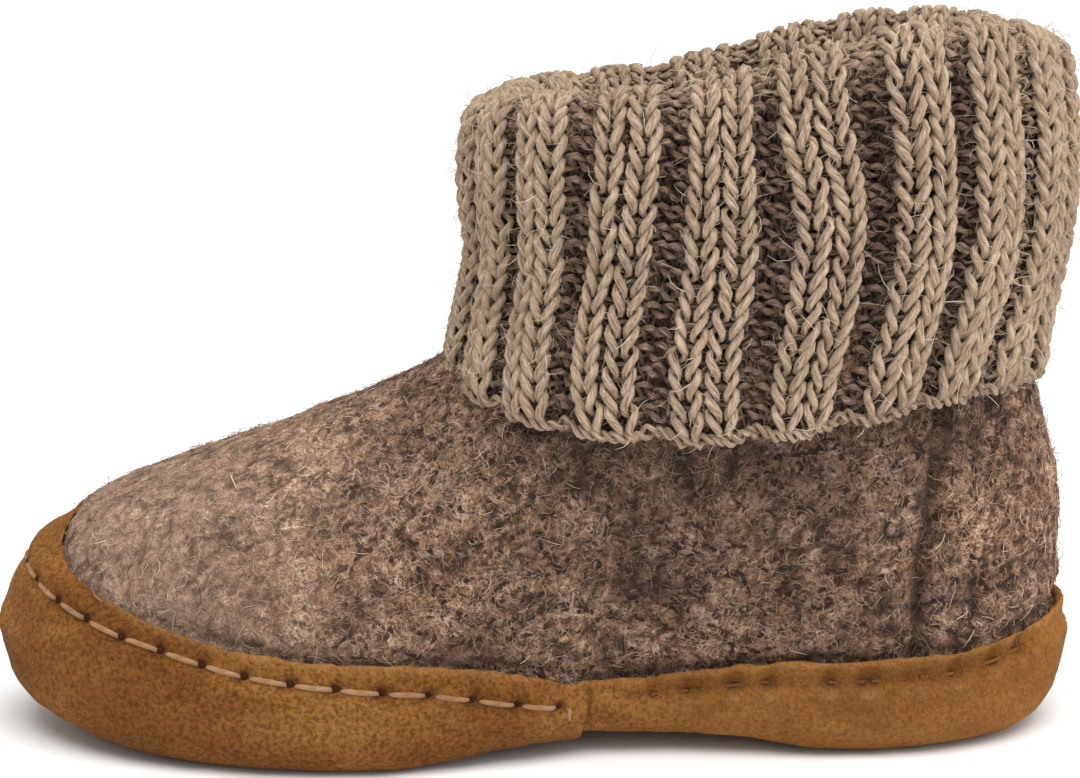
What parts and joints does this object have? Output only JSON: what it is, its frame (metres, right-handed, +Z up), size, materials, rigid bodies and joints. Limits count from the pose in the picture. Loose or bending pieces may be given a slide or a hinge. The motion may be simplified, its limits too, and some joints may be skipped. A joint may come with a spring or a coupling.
{
  "type": "toddler slipper",
  "caption": "Felted wool slipper boot with a turned-down rib-knit cuff and a two-piece suede sole stitched round the foot.",
  "frame": {"origin": "on the floor, at the centre of the bounding box seen from above", "axes": "+X from toe to heel, +Y to the outer side of the foot, +Z up"},
  "size_m": [0.1502, 0.063, 0.0985],
  "materials": {
    "suede": "golden tan suede, short nap",
    "felt": "heathered brown boiled wool, fuzzy",
    "insole_felt": "pressed wool felt",
    "rib_knit": "beige wool rib knit, brown in the furrows"
  },
  "bodies": {
    "root": {"outsole_forefoot": "suede", "outsole_heel": "suede", "upper": "felt", "insole": "insole_felt", "cuff": "rib_knit"}
  },
  "joints": []
}
